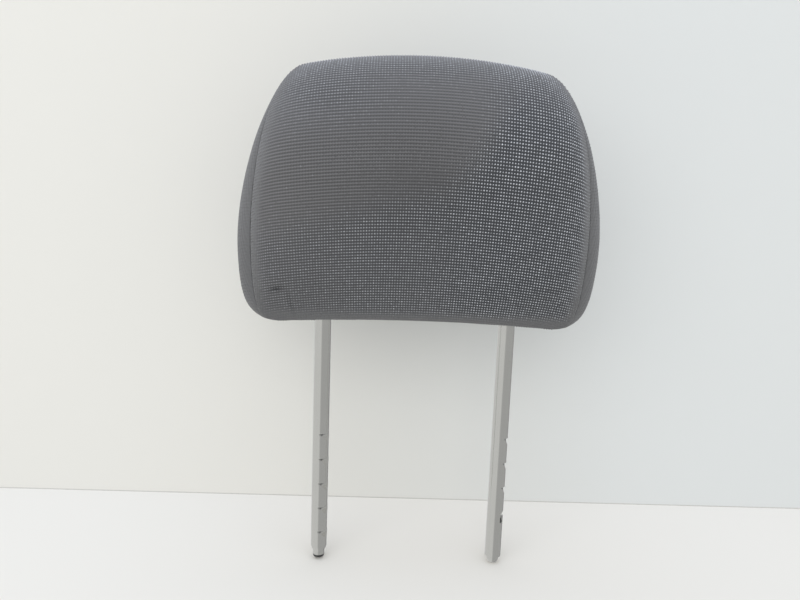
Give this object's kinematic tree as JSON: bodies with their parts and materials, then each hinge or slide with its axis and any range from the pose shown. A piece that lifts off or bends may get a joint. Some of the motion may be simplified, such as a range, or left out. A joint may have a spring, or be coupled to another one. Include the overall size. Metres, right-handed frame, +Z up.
{
  "type": "car headrest",
  "caption": "Padded car headrest with a mesh fabric cover on a bent steel tube whose two notched posts drop into the seat's guides.",
  "frame": {"origin": "midway between the post axes at the underside of the pad", "axes": "+Z up along the posts, +X to the viewer's right, -Y towards the occupant's head"},
  "size_m": [0.2658, 0.098, 0.3856],
  "materials": {
    "steel": "satin, lightly worn at the notches",
    "black_plastic": "moulded black",
    "carrier_plastic": "moulded, hidden inside the foam",
    "screw_steel": "zinc plated",
    "foam": "open foam, hidden under the cover",
    "mesh_fabric": "grey spacer mesh with light yarn dots over dark gaps",
    "profile_plastic": "extruded, hidden behind the closure slot"
  },
  "bodies": {
    "root": {"post_frame": "steel", "end_plug": "black_plastic", "carrier_front": "carrier_plastic", "carrier_rear": "carrier_plastic", "carrier_screw_1": "screw_steel", "carrier_screw_2": "screw_steel", "carrier_screw_3": "screw_steel", "carrier_screw_4": "screw_steel", "foam_core": "foam", "cover_main": "mesh_fabric", "cover_side_left": "mesh_fabric", "cover_side_right": "mesh_fabric", "closure_hook": "profile_plastic", "closure_channel": "profile_plastic"}
  },
  "joints": []
}
